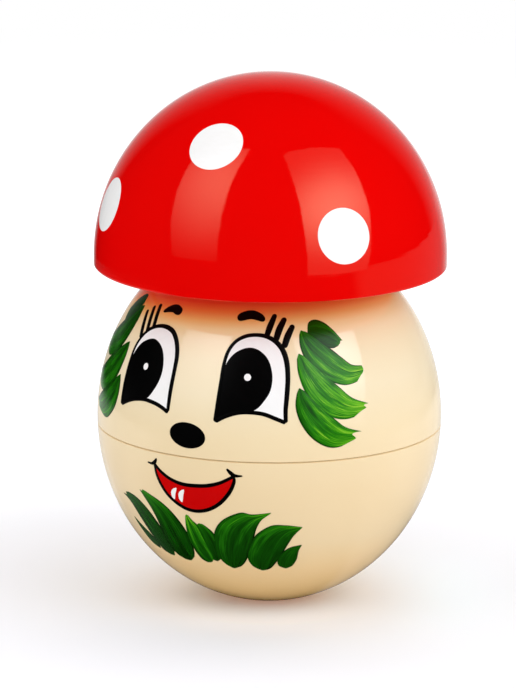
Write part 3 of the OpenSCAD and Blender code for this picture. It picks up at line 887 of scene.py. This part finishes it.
# Light that the floor gives where it is looked at: plain white, and close round the foot a painted warm
# glow of light thrown back from the lacquer; its colour, two distances from the axis in metres, and the
# levels there
FLOOR_GLOWS = (((1, 1, 1, 1), 0.03, 0.2, 0.0, 0.35), ((1, 0.4, 0.17, 1), 0.006, 0.018, 0.19, 0.0))
FLOOR_WHITE = (0.35, 0.75)     # between these distances it turns plain white
# Painted pools of light on the floor, where low light would reach in under the body: millimetres right of
# the foot and in front of it, seen from the camera's side, how far the patch spreads that way, and its
# level
FLOOR_PAINTED_LIGHT = (((0.0, 16.5), (14.0, 7.5), (0.17, 0.185, 0.2)),
                 ((42.0, -2.0), (10.0, 26.0), (0.045, 0.1, 0.125)))
LIGHT_DISTANCE, LIGHT_Z = 1.0, 0.07
# Each softbox: heading from the camera's side; corners as shares of its distance, from below left against
# the clock; the brightest place, its spread, the level there and the share of it that the rest keeps
SOFTBOXES = dict(
    softbox_right=dict(azimuth=48.0, elevation=32.0,
                       corners=((-0.59, -0.83), (0.32, -0.85), (0.57, 0.66), (-0.18, 0.92)),
                       middle=(0.02, 0.03), spread=(0.38, 0.245), peak=3.5, rest=0.1),
    softbox_left=dict(azimuth=-57.0, elevation=35.0,
                      corners=((-0.18, -0.62), (0.48, -0.59), (0.07, 0.83), (-0.41, 0.32)),
                      middle=(0.12, 0.25), spread=(0.39, 0.36), peak=2.15, rest=0.0),
)
# Pale walls of the room: heading from the camera's side, where the wall fades out, and its level
WALLS = ((-85.0, 20.0, 0.2, 0.25), (75.0, 5.0, 0.2, 0.35), (180.0, 25.0, 0.0, 0.12))
ROOM = (1.0, 0.8)              # light from the horizon and from above
ROOM_RISE = (0.05, 0.7)        # between these heights the one turns into the other
HOOD_R, HOOD_Z, HOOD_DARK = 2.2, 0.001, 0.002      # radius, height above the floor, level where it is dark
PAPER, PAPER_TOP = 0.8, 50     # level of the paper low down, and the degrees of height where it ends
PAPER_FROM, BEHIND_FROM = (141, 128), (150, 128)   # degrees round, at the left and at the right
# Slopes of the pale floor in the hood, by degrees round or metres out: start, end, levels before and after
FAR_ROUND, NEAR_ROUND, NEAR_BACK = (50, 62, 0, 0.2), (60, 90), (105, 140, 0.5, 0.75)
NEAR_OUT, NEAR_FOOT, BEHIND_OUT = (0.26, 0.36, 1, 0), (0.045, 0.085, 0.25, 1), (0.03, 0.09)
SOFTBOX_TINT, ROOM_TINT = (1, 1, 1.05, 1), (1, 1, 1.02, 1)


def stage_sheet(name, grid, material, uvs=None):
    """Grid of points in metres as a sheet of the studio."""
    sheet = mesh_object(name, grid.reshape(-1, 3) / MM, grid_faces(*grid.shape[:2]), uvs)
    sheet.data.materials.append(material)
    return sheet


def stage_material(name):
    """Empty material of the studio and its tree."""
    material = bpy.data.materials.new(name)
    material.use_nodes = True
    material.node_tree.nodes.clear()
    return material, material.node_tree


def seen_directly(tree):
    """One for rays from the camera, from a reflection or through glass, and zero for the rest."""
    path = add(tree, "LightPath")
    some = math_node(tree, "MAXIMUM", path["Is Camera Ray"], path["Is Glossy Ray"])
    return math_node(tree, "MAXIMUM", some, path["Is Transmission Ray"])


def bell(tree, place, middle, spread):
    """One at the middle of a flat place, falling off to all sides as a bell curve."""
    offset = vector_node(tree, "SUBTRACT", place, (*middle, 0.0))
    offset = vector_node(tree, "MULTIPLY", offset, (1 / spread[0], 1 / spread[1], 0.0))
    square = vector_node(tree, "DOT_PRODUCT", offset, offset)
    return math_node(tree, "EXPONENT", scaled(tree, square, -0.5))


def emission(tree, strength, colour=(1, 1, 1, 1)):
    """Light of a strength and colour."""
    return add(tree, "Emission", {"Color": colour, "Strength": strength})[0]


def show(tree, factor, a, b, output="OutputMaterial"):
    """Shows the first shader where the factor is zero and the second where it is one."""
    both = add(tree, "MixShader", {0: factor, 1: a, 2: b})[0]
    add(tree, output, {"Surface": both})


def floor_material():
    """White floor: its own shading, and where it is looked at the glows over it, among them a painted warm
    glow round the foot, and painted pools of light. The white glow grows with the distance, so that the
    toy's shadow stays, and far off all is plain white."""
    material, tree = stage_material("floor")
    place = add(tree, "TexCoord")["Object"]
    away = vector_node(tree, "LENGTH", place)
    seen = seen_directly(tree)
    ways = level_axes(VIEW_AZ, 0)[0], heading(VIEW_AZ, 0)
    across, nearer = (vector_node(tree, "DOT_PRODUCT", place, tuple(way / MM)) for way in ways)
    flat = add(tree, "CombineXYZ", {"X": across, "Y": nearer})[0]
    glows = [(colour, map_range(tree, away, *fade)) for colour, *fade in FLOOR_GLOWS]
    glows += [((*level, 1), bell(tree, flat, middle, spread)) for middle, spread, level in FLOOR_PAINTED_LIGHT]
    both = add(tree, "BsdfDiffuse", {"Color": FLOOR_COLOUR})[0]
    for colour, share in glows:
        glow = emission(tree, scaled(tree, share, seen), colour)
        both = add(tree, "AddShader", {0: both, 1: glow})[0]
    show(tree, scaled(tree, map_range(tree, away, *FLOOR_WHITE), seen), both, emission(tree, 1.0))
    return material


def softbox_material(name, middle, spread, peak, rest):
    """Lit cloth of a softbox: brightest at its middle and falling off as a bell curve; dark behind."""
    material, tree = stage_material(name)
    place = add(tree, "TexCoord")["UV"]
    level = scaled(tree, bell(tree, place, middle, spread), peak * (1 - rest), peak * rest)
    dark = add(tree, "BsdfDiffuse", {"Color": CLOTH_BACK})[0]
    behind = add(tree, "NewGeometry")["Backfacing"]
    show(tree, behind, emission(tree, level, SOFTBOX_TINT), dark)
    return material


def softbox(name, azimuth, elevation, corners, **light):
    """Flat lit panel square to its heading, between its four corners; its UV map is the place on it."""
    out = heading(VIEW_AZ + azimuth, elevation)
    right, up = level_axes(VIEW_AZ + azimuth, elevation)
    u, v = (g[..., None] for g in np.meshgrid(np.linspace(1, 0, 9), np.linspace(0, 1, 9)))
    a, b, c, d = np.array(corners)
    flat = (1 - v) * ((1 - u) * a + u * b) + v * ((1 - u) * d + u * c)
    grid = LIGHT_DISTANCE * (out + flat[..., :1] * right + flat[..., 1:] * up)
    grid = grid + np.array([0, 0, LIGHT_Z])
    panel = stage_sheet(name, grid, softbox_material(name, **light), uvs=flat.reshape(-1, 2))
    panel.visible_camera = False


def rise(x, start, end, first=0.0, last=1.0):
    """The first level before the start, the last one after the end, and a smooth slope between."""
    t = np.clip((x - start) / (end - start), 0, 1)
    return first + (last - first) * (t * t * (3 - 2 * t))


def surround():
    """Dark hood that closes over the floor: the lacquer mirrors it in place of the open room, and nothing
    else meets it. Each point's UV keeps its level: pale are the paper, most straight behind and low down,
    the floor up to it, far off at the right, and close by at both sides except at the foot. Angles are
    degrees from the camera's side and from the floor."""
    around = np.linspace(-180, 180, 181)[None]
    height = np.linspace(0, 90, 46)[:, None]
    reach = np.geomspace(0.004, 0.95, 40)[:, None] * HOOD_R
    ring = np.concatenate([reach, HOOD_R * np.cos(np.radians(height))])
    z = HOOD_Z + np.concatenate([0 * reach, HOOD_R * np.sin(np.radians(height))])
    turn = np.radians(around + VIEW_AZ)
    grid = np.stack([ring * np.sin(turn), -ring * np.cos(turn), z + 0 * turn], -1)
    side, left = np.abs(around), around < 0
    paper_from, behind_from = np.where(left, *PAPER_FROM), np.where(left, *BEHIND_FROM)
    paper = PAPER * np.clip((side - paper_from) / (180 - paper_from), 0, 1)
    paper = paper * np.clip(1 - height / PAPER_TOP, 0, 1)
    far = rise(around, *FAR_ROUND)
    near = rise(side, *NEAR_ROUND) * rise(side, *NEAR_BACK) * rise(reach, *NEAR_OUT)
    near = near * rise(reach, *NEAR_FOOT)
    behind = rise(side, behind_from, 178) * rise(reach, *BEHIND_OUT)
    pale = HOOD_DARK + np.concatenate([np.maximum(np.maximum(far, near), behind), paper])
    material, tree = stage_material("surround")
    place = add(tree, "TexCoord")["UV"]
    level = add(tree, "SeparateXYZ", {0: place})["X"]
    add(tree, "OutputMaterial", {"Surface": emission(tree, level)})
    hood = stage_sheet("surround", grid, material, uvs=np.stack([pale, 0 * pale], -1).reshape(-1, 2))
    for rays in ("camera", "diffuse", "shadow", "transmission"):
        setattr(hood, f"visible_{rays}", False)


def room_light():
    """Light from all round: strongest at the horizon, with pale walls, each palest at its heading; plain
    white where the room is looked at."""
    world = bpy.data.worlds.new("studio")
    bpy.context.scene.world = world
    world.use_nodes = True
    tree = world.node_tree
    tree.nodes.clear()
    way = add(tree, "TexCoord")["Generated"]
    high = add(tree, "SeparateXYZ", {0: way})["Z"]
    level = map_range(tree, high, *ROOM_RISE, *ROOM)
    for azimuth, elevation, fades_at, strength in WALLS:
        towards = vector_node(tree, "DOT_PRODUCT", way, tuple(heading(VIEW_AZ + azimuth, elevation)))
        level = math_node(tree, "ADD", level, map_range(tree, towards, fades_at, 1.0, 0.0, strength))
    ambient, white = (add(tree, "Background", {"Color": colour, "Strength": strength})[0]
                      for colour, strength in ((ROOM_TINT, level), ((1, 1, 1, 1), 1.0)))
    show(tree, seen_directly(tree), ambient, white, "OutputWorld")


def studio():
    """Round floor, softboxes, hood and room light."""
    a = np.linspace(0, 2 * math.pi, 97)
    r = np.concatenate([FLOOR_INNER[:1], np.linspace(FLOOR_INNER[1], STUDIO_R, 24)])[:, None]
    grid = np.stack([r * np.sin(a), -r * np.cos(a), 0 * r * a], -1)[:, ::-1]
    stage_sheet("floor", grid, floor_material())
    for name, panel in SOFTBOXES.items():
        softbox(name, **panel)
    surround()
    room_light()


studio()
bpy.context.scene.view_settings.view_transform = "Standard"
